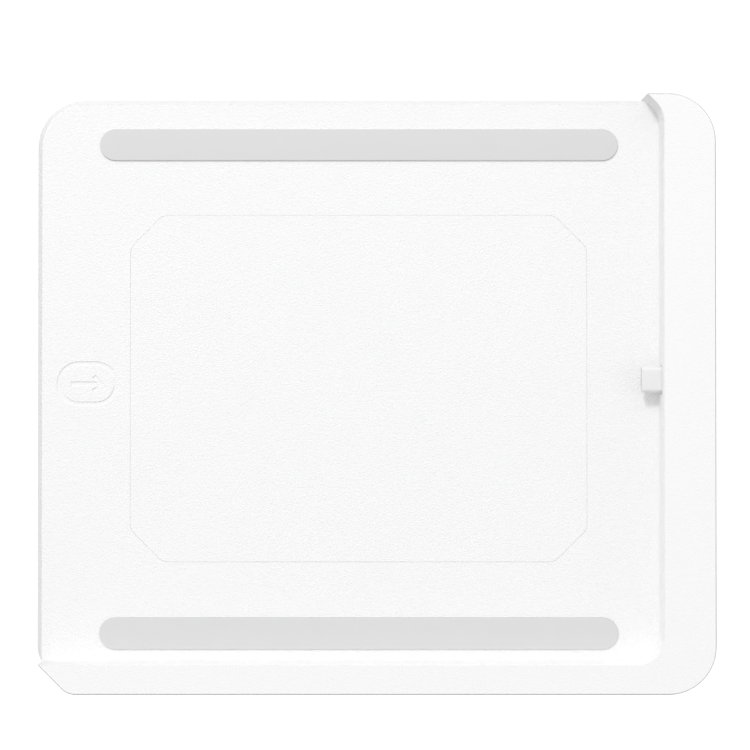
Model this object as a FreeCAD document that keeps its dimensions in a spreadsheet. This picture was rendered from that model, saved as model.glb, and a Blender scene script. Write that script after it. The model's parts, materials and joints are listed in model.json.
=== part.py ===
import FreeCAD, Part
import math
import os
import Sketcher
from FreeCAD import Rotation, Vector

# Moulded docking tray for a tablet: a flat plate with an L-shaped rim, a
# floating plug in the right rim and a lift-off panel over the wall fixings.
# Millimetres. X runs along the long side towards the plug, Y up the short
# side, Z from the resting feet towards the tablet. The origin is the centre
# of the bounding box's bottom face.

doc = FreeCAD.newDocument("docking_tray")
sheet = doc.addObject("Spreadsheet::Sheet", "sizes")

driving_sizes = {
    # outline of the tray
    "tray_length": 217.8,
    "tray_width": 191.7,
    "top_setback": 0.95,         # the plate's top edge is this far inside the rim's
    "corner_cut": 11.2,          # legs of the 45 degree cut at the rim's free end
    "cut_round": 6.2,
    "corner_round": 15.3,
    "hollow_round": 2.0,         # corners of the rim's hollow beside its top end
    "bay_corner_round": 8.6,
    # heights
    "foot_height": 1.0,
    "floor_thick": 2.6,
    "parting_height": 6.5,
    "plate_thick": 3.0,
    "plate_face": 10.5,
    "rim_top": 19.0,
    # walls
    "shell_wall": 2.4,
    "rim_wall": 2.2,
    "rim_roof": 1.8,
    "side_rim": 17.0,            # width of the rim that holds the plug
    "lower_rim": 9.95,           # width of the rim along the bottom
    "hook_leg": 5.65,            # legs of the 45 degree hook at the rim's top end
    "edge_bevel": 1.6,
    "back_bevel": 0.8,
    "rim_edge_across": 0.45,     # the rim's steep top bevel
    "rim_edge_down": 1.1,
    "rim_tip_round": 0.5,
    "lip_height": 0.7,
    "lip_thick": 1.2,
    "lip_gap": 0.2,
    # rubber strips
    "strip_length": 167.3,
    "strip_width": 10.2,
    "strip_proud": 0.5,
    "strip_recess": 0.6,
    "strip_edge": 0.2,
    "strip_centre": -5.0,
    "strip_upper": 80.3,
    "strip_lower": -77.4,
    # lift-off panel
    "panel_length": 147.1,
    "panel_width": 111.6,
    "panel_thick": 1.8,
    "panel_cut": 10.4,
    "panel_round": 4.5,
    "panel_seam": 0.18,
    "panel_centre": -5.1,
    "panel_height": 1.6,
    "ledge_width": 2.0,
    "magnet_radius": 4.0,
    "magnet_thick": 1.5,
    "magnet_inset": 9.0,         # magnet centre inside the panel's edge
    "magnet_spread": 30.0,       # magnet centre from the panel's centre line
    "magnet_ear": 12.0,
    "disc_thick": 0.8,
    "pocket_gap": 0.05,
    # steel plate with the monitor bolt patterns
    "wide_pattern": 100.0,
    "narrow_pattern": 75.0,
    "bolt_hole_radius": 2.25,
    "steel_side": 110.0,
    "steel_thick": 1.5,
    "steel_window_length": 66.0,
    "steel_window_width": 40.0,
    "steel_round": 6.0,
    "window_round": 4.0,
    "stake_inset": 4.0,          # stake centre inside the steel plate's edge
    "stake_offset": 25.0,
    "stake_radius": 1.5,
    "stake_gap": 0.1,
    "stake_head": 2.4,
    "stake_head_height": 0.8,
    # cable opening
    "outlet_length": 26.0,
    "outlet_width": 16.0,
    "outlet_offset": -16.0,
    "grommet_wall": 1.2,
    "grommet_flange": 1.6,
    "grommet_lip": 0.6,
    # shell screws
    "boss_radius": 3.2,
    "insert_radius": 1.98,
    "insert_length": 3.0,
    "insert_bore": 1.25,
    "insert_gap": 0.02,
    "insert_sink": 0.3,          # the insert starts this far up its bore
    "insert_spare": 0.4,         # the bore is this much deeper than the insert
    "screw_inset": 9.0,          # left screws inside the tray's left edge
    "screw_setback": 8.0,        # right screws outside the rim's hollow
    "screw_left_top": 34.0,
    "screw_left_bottom": 30.0,
    "screw_right_top": 26.0,
    "screw_right_bottom": 24.0,
    "screw_middle_top": 8.0,
    "screw_middle_bottom": 26.0,
    "screw_radius": 1.2,
    "screw_head_radius": 2.2,
    "screw_head_height": 1.4,
    "screw_recess_radius": 2.5,
    "screw_recess": 1.6,
    "screw_clearance": 0.2,
    # feet
    "foot_radius": 8.0,
    "foot_recess": 0.6,
    "foot_gap": 0.15,
    "foot_bevel": 0.3,
    "foot_inset": 14.0,
    # plug
    "plug_width": 8.25,
    "plug_thick": 2.4,
    "plug_exposed": 6.4,
    "plug_wall": 0.35,
    "plug_height": 15.0,
    "plug_centre": 4.4,
    "plug_float": 0.4,
    "plug_slot_gap": 0.2,
    "tongue_thick": 0.9,
    "contact_thick": 0.15,
    "contact_width": 0.3,
    "contact_pitch": 0.5,
    "contact_length": 4.2,
    "contact_row": 12.0,
    "contact_start": 1.2,        # contacts begin this far inside the plug's tip
    "insulator_setback": 0.4,
    "mouth_margin": 0.5,
    # floating carriage
    "overmould_length": 10.0,
    "overmould_width": 12.4,
    "overmould_thick": 3.9,
    "overmould_setback": 0.5,
    "overmould_round": 1.0,
    "carriage_width": 16.0,
    "carriage_length": 10.8,
    "carriage_bottom": 8.0,
    "carriage_setback": 0.9,
    "rod_radius": 1.0,
    "rod_gap": 0.05,
    "rod_height": 10.4,
    "rod_spacing": 4.8,
    "bracket_width": 34.0,
    "bracket_wall": 2.6,
    "bracket_bottom": 5.0,
    "bracket_floor": 1.6,
    "bracket_wall_top": 12.6,
    "bracket_ear": 10.0,
    "bracket_length": 10.0,
    "bracket_boss": 2.8,
    "bracket_boss_offset": 1.4,
    "bracket_pilot": 6.5,
    "bracket_shank": 7.5,
    "clip_radius": 2.0,
    "clip_thick": 0.6,
    "clip_mouth": 1.1,
    "groove_deep": 0.25,
    "rod_end": 0.8,
    "spring_radius": 1.6,
    "spring_wire": 0.4,
    "spring_turns": 5.0,
    # power lead and the inlet inside the tray
    "lead_radius": 1.3,
    "lead_offset": 3.2,
    "lead_floor_height": 5.6,
    "lead_plate_height": 6.55,
    "clip_block": 7.0,
    "clip_length": 3.0,
    "clip_gap": 0.1,
    "clip_lip": 0.2,             # the clip's mouth is this much narrower at each side
    "lead_plug_run": 14.0,
    "lead_drop": 12.0,
    "lead_side_run": 14.0,
    "board_length": 17.0,
    "board_width": 18.0,
    "board_thick": 0.8,
    "board_rise": 0.8,
    "board_offset": 24.0,
    "board_rib": 2.0,
    "socket_length": 7.4,
    "socket_width": 8.94,
    "socket_height": 3.2,
    "socket_wall": 0.3,
    "socket_back": 1.0,
    "tongue_length": 5.8,
    "tongue_width": 6.7,
    "tongue_height": 0.7,
    "tongue_start": 0.6,
    "inlet_cover_length": 6.0,
    "inlet_cover_roof": 0.65,
    "inlet_screw_radius": 0.8,
    "inlet_screw_head": 1.5,
    "inlet_screw_head_height": 0.8,
    "inlet_screw_gap": 0.1,
    "inlet_screw_edge": 2.0,     # screw centre inside the board's sides
    "inlet_screw_end": 3.0,      # screw centre inside the board's end
    "inlet_shoulder": 1.2,
    "inlet_shoulder_width": 4.0,
    # debossed mark
    "mark_length": 20.0,
    "mark_width": 14.5,
    "mark_line": 1.5,
    "mark_deep": 0.3,
    "arrow_reach": 5.4,          # the arrow's tip from the mark's centre
    "arrow_head": 2.9,
    "arrow_notch": 0.2,
    "mark_x": -92.6,
    "mark_y": 3.1,
}

for row, (alias, value) in enumerate(driving_sizes.items(), start=1):
    sheet.set(f"A{row}", alias)
    sheet.set(f"B{row}", str(value))
    sheet.setAlias(f"B{row}", alias)
doc.recompute()

nodes = {}


def cell(text):
    """Turn plain aliases in an expression into spreadsheet references."""
    words = sorted(driving_sizes, key=len, reverse=True)
    out = ""
    at = 0
    while at < len(text):
        hit = next((word for word in words if text.startswith(word, at)), None)
        if hit:
            out += "sizes." + hit
            at += len(hit)
        else:
            out += text[at]
            at += 1
    return out


def number(text):
    """The value of an expression in aliases."""
    return float(sheet.evalExpression(cell(text)))


def plane_of(body, role):
    return next(item for item in body.Origin.OriginFeatures if item.Role == role)


def new_sketch(body, name, height="0", role="XY_Plane"):
    """A sketch on one of the body's own planes, moved along its normal."""
    sketch = body.newObject("Sketcher::SketchObject", name)
    sketch.AttachmentSupport = [(plane_of(body, role), "")]
    sketch.MapMode = "FlatFace"
    sketch.setExpression(".AttachmentOffset.Base.z", cell(height))
    return sketch


def hold_point(sketch, geometry, end, x, y):
    """Tie a sketch point to its place from the sheet."""
    for kind, text in (("DistanceX", x), ("DistanceY", y)):
        index = sketch.addConstraint(
            Sketcher.Constraint(kind, -1, 1, geometry, end, number(text)))
        sketch.setExpression(f"Constraints[{index}]", cell(text))


def hold_radius(sketch, geometry, radius):
    index = sketch.addConstraint(Sketcher.Constraint("Radius", geometry, number(radius)))
    sketch.setExpression(f"Constraints[{index}]", cell(radius))


def draw_outline(sketch, corners):
    """Closed outline from (x, y) corners, or (x, y, radius) where it is rounded."""
    spots = [Vector(number(corner[0]), number(corner[1]), 0) for corner in corners]
    count = len(corners)
    starts = []
    ends = []
    arcs = []
    for i, corner in enumerate(corners):
        before = (spots[i - 1] - spots[i]).normalize()
        after = (spots[(i + 1) % count] - spots[i]).normalize()
        if len(corner) == 2:
            starts.append(spots[i])
            ends.append(spots[i])
            arcs.append(None)
            continue
        half = before.getAngle(after) / 2
        reach = number(corner[2]) / math.tan(half)
        centre = spots[i] + (before + after).normalize() * (number(corner[2]) / math.sin(half))
        middle = centre + (spots[i] - centre).normalize() * number(corner[2])
        ends.append(spots[i] + before * reach)
        starts.append(spots[i] + after * reach)
        arcs.append(Part.Arc(ends[i], middle, starts[i]))
    lines = []
    for i in range(count):
        segment = Part.LineSegment(starts[i], ends[(i + 1) % count])
        lines.append(sketch.addGeometry(segment, False))
    for i, corner in enumerate(corners):
        line_in = lines[i - 1]
        line_out = lines[i]
        if arcs[i] is None:
            sketch.addConstraint(Sketcher.Constraint("Coincident", line_in, 2, line_out, 1))
            hold_point(sketch, line_out, 1, corner[0], corner[1])
            continue
        arc = sketch.addGeometry(arcs[i], False)
        turn = (spots[i] - spots[i - 1]).cross(spots[(i + 1) % count] - spots[i]).z
        first, last = (1, 2) if turn > 0 else (2, 1)
        sketch.addConstraint(Sketcher.Constraint("Tangent", line_in, 2, arc, first))
        sketch.addConstraint(Sketcher.Constraint("Tangent", line_out, 1, arc, last))
        point = sketch.addGeometry(Part.Point(spots[i]), True)
        hold_point(sketch, point, 1, corner[0], corner[1])
        sketch.addConstraint(Sketcher.Constraint("PointOnObject", point, 1, line_in))
        sketch.addConstraint(Sketcher.Constraint("PointOnObject", point, 1, line_out))
        hold_radius(sketch, arc, corner[2])


def draw_circles(sketch, centres, radius):
    """Circles at (x, y) centres, all of one radius."""
    for x, y in centres:
        circle = Part.Circle(Vector(number(x), number(y), 0), Vector(0, 0, 1), number(radius))
        index = sketch.addGeometry(circle, False)
        hold_point(sketch, index, 3, x, y)
        hold_radius(sketch, index, radius)


def pad(body, name, sketch, length):
    feature = body.newObject("PartDesign::Pad", name)
    feature.Profile = sketch
    feature.setExpression("Length", cell(length))
    doc.recompute()
    return feature


def pocket(body, name, sketch, depth, upwards=False):
    """Cut down from the sketch, or up into the material above it."""
    before = body.Shape.Volume
    feature = body.newObject("PartDesign::Pocket", name)
    feature.Profile = sketch
    feature.Reversed = upwards
    feature.setExpression("Length", cell(depth))
    doc.recompute()
    if body.Shape.Volume >= before:
        raise ValueError(f"{name} cuts nothing")
    return feature


def body_box(body, kind, name, size, corner):
    """An additive or subtractive box by size and lowest corner."""
    feature = body.newObject(f"PartDesign::{kind}Box", name)
    for field, text in zip(("Length", "Width", "Height"), size):
        feature.setExpression(field, cell(text))
    for axis, text in zip("xyz", corner):
        feature.setExpression(f"Placement.Base.{axis}", cell(text))
    doc.recompute()
    return feature


def edges_where(shape, test):
    return [f"Edge{i}" for i, edge in enumerate(shape.Edges, start=1) if test(edge)]


def dress(body, kind, name, base, test, size, down=None):
    """Fillet or Chamfer of the base feature's edges that pass a test."""
    feature = body.newObject(f"PartDesign::{kind}", name)
    feature.Base = (base, edges_where(base.Shape, test))
    feature.setExpression("Radius" if kind == "Fillet" else "Size", cell(size))
    if down:
        feature.ChamferType = "Two distances"
        feature.FlipDirection = True          # the first distance lies on the top face
        feature.setExpression("Size2", cell(down))
    doc.recompute()
    if not feature.Shape.isValid():
        raise ValueError(f"{name} is not a valid {kind}")
    return feature


def new_body(label):
    body = doc.addObject("PartDesign::Body", label)
    body.Label = label
    nodes[label] = body
    return body


def place(item, x, y, z):
    for axis, text in zip("xyz", (x, y, z)):
        item.setExpression(f"Placement.Base.{axis}", cell(text))
    return item


def box(name, size, corner):
    item = doc.addObject("Part::Box", name)
    for field, text in zip(("Length", "Width", "Height"), size):
        item.setExpression(field, cell(text))
    return place(item, *corner)


turned = {
    "X": Rotation(Vector(0, 1, 0), 90),
    "Y": Rotation(Vector(1, 0, 0), -90),
    "Z": Rotation(),
}


def rod(name, radius, length, start, axis="Z"):
    """A cylinder that starts at a point and runs along +X, +Y or +Z."""
    item = doc.addObject("Part::Cylinder", name)
    item.setExpression("Radius", cell(radius))
    item.setExpression("Height", cell(length))
    item.Placement = FreeCAD.Placement(Vector(), turned[axis])
    return place(item, *start)


def fuse(name, items):
    item = doc.addObject("Part::MultiFuse", name)
    item.Shapes = items
    item.Refine = True
    return item


def cut(name, base, tool):
    item = doc.addObject("Part::Cut", name)
    item.Base = base
    item.Tool = tool
    item.Refine = True
    return item


def group(name, items):
    item = doc.addObject("Part::Compound", name)
    item.Links = items
    return item


def node(label, item):
    item.Label = label
    nodes[label] = item
    return item


def slot_corners(length, width, x, y):
    """A full-round slot; its ends stay a hair short of a half circle."""
    near = f"({width}) / 2 - 0.001"
    right = f"{x} + ({length}) / 2"
    left = f"{x} - ({length}) / 2"
    top = f"{y} + ({width}) / 2"
    bottom = f"{y} - ({width}) / 2"
    return [(left, bottom, near), (right, bottom, near), (right, top, near), (left, top, near)]


def octagon(grow):
    """The lift-off panel's outline, moved outwards by grow."""
    half_x = f"(panel_length / 2 + {grow})"
    half_y = f"(panel_width / 2 + {grow})"
    leg = f"(panel_cut + ({grow}) * (2 - sqrt(2)))"
    corners = []
    for side_x, side_y in ((1, -1), (1, 1), (-1, 1), (-1, -1)):
        flat = (f"panel_centre + {side_x} * ({half_x} - {leg})",
                f"panel_height + {side_y} * {half_y}", "panel_round")
        steep = (f"panel_centre + {side_x} * {half_x}",
                 f"panel_height + {side_y} * ({half_y} - {leg})", "panel_round")
        corners += [flat, steep] if side_x * side_y < 0 else [steep, flat]
    return corners


def tray_outline(hook_tip=()):
    """The tray's outer outline, anticlockwise; the hook's tip can be given a radius."""
    hook_x = "(tray_length / 2 - side_rim - hook_leg)"
    return [
        ("-tray_length / 2", "-tray_width / 2 + corner_cut", "cut_round"),
        ("-tray_length / 2 + corner_cut", "-tray_width / 2", "cut_round"),
        ("tray_length / 2", "-tray_width / 2", "corner_round"),
        ("tray_length / 2", "tray_width / 2", "corner_round"),
        (hook_x, "tray_width / 2") + hook_tip,
        (f"{hook_x} + top_setback", "tray_width / 2 - top_setback"),
        ("-tray_length / 2", "tray_width / 2 - top_setback", "corner_round"),
    ]


def inner_outline(inset):
    """The plate's outline moved inwards, with a straight top edge."""
    half_x = f"(tray_length / 2 - {inset})"
    low = f"(-tray_width / 2 + {inset})"
    top = f"(tray_width / 2 - top_setback - {inset})"
    leg = f"(corner_cut - ({inset}) * (2 - sqrt(2)))"
    corner = f"corner_round - ({inset})"
    return [
        (f"-{half_x}", f"{low} + {leg}", f"cut_round - ({inset})"),
        (f"-{half_x} + {leg}", low, f"cut_round - ({inset})"),
        (half_x, low, corner),
        (half_x, top, corner),
        (f"-{half_x}", top, corner),
    ]


# Where the eight shell screws stand, clear of the strips, panel and lead.
left_screws = "-tray_length / 2 + screw_inset"
right_screws = "tray_length / 2 - side_rim - screw_setback"
screw_spots = [
    (left_screws, "tray_width / 2 - screw_left_top"),
    (left_screws, "0"),
    (left_screws, "-tray_width / 2 + screw_left_bottom"),
    ("strip_centre", "tray_width / 2 - screw_middle_top"),
    ("strip_centre", "-tray_width / 2 + screw_middle_bottom"),
    (right_screws, "tray_width / 2 - screw_right_top"),
    (right_screws, "-tray_width / 2 + screw_right_bottom"),
    (right_screws, "0"),
]
stake_spots = [
    (f"panel_centre + {side_x} * (steel_side / 2 - stake_inset)",
     f"panel_height + {side_y} * stake_offset")
    for side_x in (-1, 1) for side_y in (-1, 1)
]
magnet_spots = [
    (f"panel_centre + {side_x} * (panel_length / 2 - magnet_inset)",
     f"panel_height + {side_y} * magnet_spread")
    for side_x in (-1, 1) for side_y in (-1, 1)
]


def pattern_spots(spacing):
    return [(f"panel_centre + {a} * {spacing} / 2", f"panel_height + {b} * {spacing} / 2")
            for a in (-1, 1) for b in (-1, 1)]


rear_face = "foot_height"
floor_top = "(foot_height + floor_thick)"
plate_under = "(plate_face - plate_thick)"
bay_right = "(tray_length / 2 - side_rim)"
bay_bottom = "(-tray_width / 2 + lower_rim)"
rim_inner = "(tray_length / 2 - side_rim + rim_wall)"
rim_ceiling = "(rim_top - rim_roof)"
ledge_face = "(plate_face - panel_thick)"
hook_foot = "(tray_length / 2 - side_rim - hook_leg + top_setback)"
carriage_x = f"({rim_inner} + carriage_setback)"
overmould_x = f"({rim_inner} + overmould_setback)"
overmould_z = "(plug_height - overmould_thick / 2)"
rod_middle = f"({carriage_x} + carriage_length / 2)"
bracket_x = f"({rim_inner} + overmould_setback)"
boss_x = f"({rod_middle} + bracket_boss_offset)"
boss_reach = "(bracket_width / 2 + bracket_ear / 2)"
outlet_x = "(panel_centre + outlet_offset)"


def make_front_tray():
    body = new_body("front_tray")
    sketch = new_sketch(body, "plate_outline_sketch", "parting_height")
    draw_outline(sketch, tray_outline(hook_tip=("rim_tip_round",)))
    pad(body, "plate_block", sketch, "plate_face - parting_height")

    # bevel along the plate's open left and top edges, swept round the corner
    left = "(-tray_length / 2)"
    top = "(tray_width / 2 - top_setback)"
    path = new_sketch(body, "bevel_path", "plate_face")
    reach = number("corner_round")
    turn = Vector(number(left), number(top), 0) + Vector(reach, -reach, 0)
    slack = Vector(-reach, reach, 0) * math.sqrt(0.5)
    start = Vector(number(left), number(bay_bottom), 0)
    end = Vector(number(hook_foot), number(top), 0)
    path.addGeometry(Part.LineSegment(start, turn + Vector(-reach, 0, 0)), False)
    path.addGeometry(Part.Arc(turn + Vector(-reach, 0, 0), turn + slack,
                              turn + Vector(0, reach, 0)), False)
    path.addGeometry(Part.LineSegment(turn + Vector(0, reach, 0), end), False)
    path.addConstraint(Sketcher.Constraint("Tangent", 0, 2, 1, 2))
    path.addConstraint(Sketcher.Constraint("Tangent", 1, 1, 2, 1))
    hold_radius(path, 1, "corner_round")
    path.addConstraint(Sketcher.Constraint("Vertical", 0))
    hold_point(path, 0, 1, left, bay_bottom)
    hold_point(path, 2, 2, hook_foot, top)
    wedge = new_sketch(body, "bevel_wedge", f"-{bay_bottom}", "XZ_Plane")
    draw_outline(wedge, [
        (f"{left} - 1", "plate_face - edge_bevel - 1"),
        (f"{left} + edge_bevel", "plate_face"),
        (f"{left} - 1", "plate_face"),
    ])
    before = body.Shape.Volume
    bevel = body.newObject("PartDesign::SubtractivePipe", "open_edge_bevel")
    bevel.Profile = wedge
    bevel.Spine = (path, ["Edge1", "Edge2", "Edge3"])
    doc.recompute()
    if body.Shape.Volume >= before:
        raise ValueError("the open edge's bevel cuts nothing")

    # the rim leaves a bay for the tablet, open at the left and the top
    sketch = new_sketch(body, "rim_sketch", "parting_height")
    draw_outline(sketch, [
        (f"-(tray_length / 2 + tray_width / 2 - corner_cut) - {bay_bottom}", bay_bottom,
         "rim_tip_round"),
        ("-tray_length / 2 + corner_cut", "-tray_width / 2", "cut_round"),
        ("tray_length / 2", "-tray_width / 2", "corner_round"),
        ("tray_length / 2", "tray_width / 2", "corner_round"),
        (f"{bay_right} - hook_leg", "tray_width / 2", "rim_tip_round"),
        (bay_right, "tray_width / 2 - hook_leg", "bay_corner_round"),
        (bay_right, bay_bottom, "bay_corner_round"),
    ])
    base = pad(body, "rim_block", sketch, "rim_top - parting_height")
    top = number("rim_top")
    dress(body, "Chamfer", "rim_edges", base,
          lambda edge: edge.BoundBox.ZMin > top - 0.01, "rim_edge_across", "rim_edge_down")

    # hollow under the plate, then up into the rim
    sketch = new_sketch(body, "under_plate_sketch", "parting_height")
    draw_outline(sketch, inner_outline("shell_wall"))
    pocket(body, "under_plate", sketch, f"{plate_under} - parting_height", upwards=True)
    sketch = new_sketch(body, "rim_hollow_sketch", "parting_height")
    outer_x = "tray_length / 2 - rim_wall"
    outer_y = "-tray_width / 2 + rim_wall"
    inner_y = f"({bay_bottom} - rim_wall)"
    draw_outline(sketch, [
        ("-tray_length / 2 + corner_cut + rim_wall", inner_y),
        ("-tray_length / 2 + corner_cut + rim_wall", outer_y),
        (outer_x, outer_y, "corner_round - rim_wall"),
        (outer_x, "tray_width / 2 - corner_round", "hollow_round"),
        (rim_inner, "tray_width / 2 - corner_round", "hollow_round"),
        (rim_inner, inner_y, "bay_corner_round - rim_wall"),
    ])
    pocket(body, "rim_hollow", sketch, f"{rim_ceiling} - parting_height", upwards=True)

    # recess, opening and magnet ears for the lift-off panel
    sketch = new_sketch(body, "panel_recess_sketch", "plate_face")
    draw_outline(sketch, octagon("panel_seam"))
    pocket(body, "panel_recess", sketch, "panel_thick")
    sketch = new_sketch(body, "panel_opening_sketch", ledge_face)
    draw_outline(sketch, octagon("-ledge_width"))
    pocket(body, "panel_opening", sketch, f"{ledge_face} - parting_height")
    ear_reach = "(magnet_inset + magnet_ear / 2)"
    for i, (x, y) in enumerate(magnet_spots):
        start = "panel_centre - panel_length / 2" if i < 2 else (
            f"panel_centre + panel_length / 2 - {ear_reach}")
        body_box(body, "Additive", f"magnet_ear_{i + 1}",
                 (ear_reach, "magnet_ear", f"{ledge_face} - parting_height"),
                 (start, f"{y} - magnet_ear / 2", "parting_height"))
    sketch = new_sketch(body, "magnet_sketch", ledge_face)
    draw_circles(sketch, magnet_spots, "magnet_radius + pocket_gap")
    pocket(body, "magnet_pockets", sketch, "magnet_thick")

    # recesses for the two rubber strips
    for name, height in (("upper", "strip_upper"), ("lower", "strip_lower")):
        sketch = new_sketch(body, f"{name}_strip_sketch", "plate_face")
        draw_outline(sketch, slot_corners("strip_length + 2 * pocket_gap",
                                          "strip_width + 2 * pocket_gap",
                                          "strip_centre", height))
        pocket(body, f"{name}_strip_recess", sketch, "strip_recess")

    # debossed mark: a full-round ring with an arrow towards the plug
    sketch = new_sketch(body, "mark_sketch", "plate_face")
    draw_outline(sketch, slot_corners("mark_length", "mark_width", "mark_x", "mark_y"))
    draw_outline(sketch, slot_corners("mark_length - 2 * mark_line",
                                      "mark_width - 2 * mark_line", "mark_x", "mark_y"))
    tip = "(mark_x + arrow_reach)"
    head = "arrow_head"
    slant = "(mark_line / sqrt(2))"
    notch = f"{tip} - 2 * {slant} - arrow_notch"
    draw_outline(sketch, [
        (tip, "mark_y"),
        (f"{tip} - {head}", f"mark_y + {head}"),
        (f"{tip} - {head} - {slant}", f"mark_y + {head} - {slant}"),
        (notch, "mark_y + mark_line / 2"),
        ("mark_x - arrow_reach", "mark_y + mark_line / 2"),
        ("mark_x - arrow_reach", "mark_y - mark_line / 2"),
        (notch, "mark_y - mark_line / 2"),
        (f"{tip} - {head} - {slant}", f"mark_y - {head} + {slant}"),
        (f"{tip} - {head}", f"mark_y - {head}"),
    ])
    pocket(body, "mark", sketch, "mark_deep")

    # bosses down to the rear shell's floor, bored for the brass inserts
    sketch = new_sketch(body, "boss_sketch", floor_top)
    draw_circles(sketch, screw_spots, "boss_radius")
    pad(body, "screw_bosses", sketch, f"{plate_under} - {floor_top}")
    sketch = new_sketch(body, "insert_sketch", floor_top)
    draw_circles(sketch, screw_spots, "insert_radius + insert_gap")
    pocket(body, "insert_bores", sketch, "insert_length + insert_spare", upwards=True)

    # two bosses in the rim carry the plug's bracket
    spots = [(boss_x, f"plug_centre + {side} * {boss_reach}") for side in (-1, 1)]
    sketch = new_sketch(body, "bracket_boss_sketch", "bracket_bottom + bracket_floor")
    draw_circles(sketch, spots, "bracket_boss")
    pad(body, "bracket_bosses", sketch, f"{rim_ceiling} - bracket_bottom - bracket_floor")
    sketch = new_sketch(body, "bracket_pilot_sketch", "bracket_bottom + bracket_floor")
    draw_circles(sketch, spots, "screw_radius + insert_gap")
    pocket(body, "bracket_pilots", sketch, "bracket_pilot", upwards=True)

    # slot in the rim's inner wall that the plug comes out of
    width = "(plug_width + 2 * plug_float + 2 * plug_slot_gap)"
    height = "(plug_thick + 2 * plug_slot_gap)"
    body_box(body, "Subtractive", "plug_slot",
             ("rim_wall + 2", width, height),
             (f"{bay_right} - 1", f"plug_centre - {width} / 2",
              f"plug_height - {height} / 2"))


def make_rear_shell():
    body = new_body("rear_shell")
    sketch = new_sketch(body, "shell_outline_sketch", rear_face)
    draw_outline(sketch, tray_outline())
    base = pad(body, "shell_block", sketch, f"parting_height - {rear_face}")
    low = number(rear_face)

    def back_edge(edge):
        return abs(edge.BoundBox.ZMin - low) < 0.01 and abs(edge.BoundBox.ZMax - low) < 0.01

    dress(body, "Chamfer", "back_edge_bevel", base, back_edge, "back_bevel")
    sketch = new_sketch(body, "shell_hollow_sketch", "parting_height")
    draw_outline(sketch, inner_outline("shell_wall"))
    pocket(body, "shell_hollow", sketch, f"parting_height - {floor_top}")

    # a lip that fits inside the front moulding's wall
    sketch = new_sketch(body, "lip_sketch", floor_top)
    draw_outline(sketch, inner_outline("(shell_wall + lip_gap)"))
    draw_outline(sketch, inner_outline("(shell_wall + lip_gap + lip_thick)"))
    pad(body, "locating_lip", sketch, f"parting_height + lip_height - {floor_top}")

    # stakes for the steel plate
    sketch = new_sketch(body, "stake_sketch", floor_top)
    draw_circles(sketch, stake_spots, "stake_radius")
    pad(body, "stakes", sketch, "steel_thick")
    sketch = new_sketch(body, "stake_head_sketch", f"{floor_top} + steel_thick")
    draw_circles(sketch, stake_spots, "stake_head")
    pad(body, "stake_heads", sketch, "stake_head_height")

    # two ribs under the inlet's board
    for i, side in enumerate((-1, 1)):
        body_box(body, "Additive", f"board_rib_{i + 1}",
                 ("board_length", "board_rib", "board_rise"),
                 ("panel_centre + board_offset - board_length / 2",
                  f"panel_height + {side} * (board_width / 2 - board_rib) - board_rib / 2",
                  floor_top))

    # screw holes with recesses for the heads
    sketch = new_sketch(body, "screw_hole_sketch", rear_face)
    draw_circles(sketch, screw_spots, "screw_radius + screw_clearance")
    pocket(body, "screw_holes", sketch, "floor_thick", upwards=True)
    sketch = new_sketch(body, "screw_recess_sketch", rear_face)
    draw_circles(sketch, screw_spots, "screw_recess_radius")
    pocket(body, "screw_recesses", sketch, "screw_recess", upwards=True)

    # holes behind the steel plate's two bolt patterns
    for name in ("wide", "narrow"):
        sketch = new_sketch(body, f"{name}_pattern_sketch", rear_face)
        draw_circles(sketch, pattern_spots(f"{name}_pattern"), "bolt_hole_radius")
        pocket(body, f"{name}_pattern_holes", sketch, "floor_thick", upwards=True)

    # cable opening and the feet's recesses
    sketch = new_sketch(body, "outlet_sketch", rear_face)
    draw_outline(sketch, slot_corners("outlet_length", "outlet_width",
                                      outlet_x, "panel_height"))
    pocket(body, "cable_outlet", sketch, "floor_thick", upwards=True)
    sketch = new_sketch(body, "foot_recess_sketch", rear_face)
    draw_circles(sketch, foot_spots.values(), "foot_radius + foot_gap")
    pocket(body, "foot_recesses", sketch, "foot_recess", upwards=True)


foot_spots = {
    f"foot_{high}_{side}": (f"{a} * (tray_length / 2 - foot_inset)",
                            f"{b} * (tray_width / 2 - foot_inset)")
    for high, b in (("upper", 1), ("lower", -1))
    for side, a in (("left", -1), ("right", 1))
}


def make_feet():
    """Four stick-on rubber discs in the rear shell's recesses."""
    for label, (x, y) in foot_spots.items():
        body = new_body(label)
        sketch = new_sketch(body, f"{label}_sketch")
        draw_circles(sketch, [(x, y)], "foot_radius")
        base = pad(body, f"{label}_disc", sketch, "foot_height + foot_recess")
        dress(body, "Chamfer", f"{label}_bevel", base,
              lambda edge: edge.BoundBox.ZMax < 0.01, "foot_bevel")


def make_grip_strips():
    """Two full-round rubber strips that stand proud of the plate."""
    for label, height in (("grip_strip_upper", "strip_upper"),
                          ("grip_strip_lower", "strip_lower")):
        body = new_body(label)
        sketch = new_sketch(body, f"{label}_sketch", "plate_face - strip_recess")
        draw_outline(sketch, slot_corners("strip_length", "strip_width",
                                          "strip_centre", height))
        base = pad(body, f"{label}_pad", sketch, "strip_recess + strip_proud")
        top = number("plate_face + strip_proud")
        dress(body, "Fillet", f"{label}_edge", base,
              lambda edge, top=top: edge.BoundBox.ZMin > top - 0.01, "strip_edge")


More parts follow.
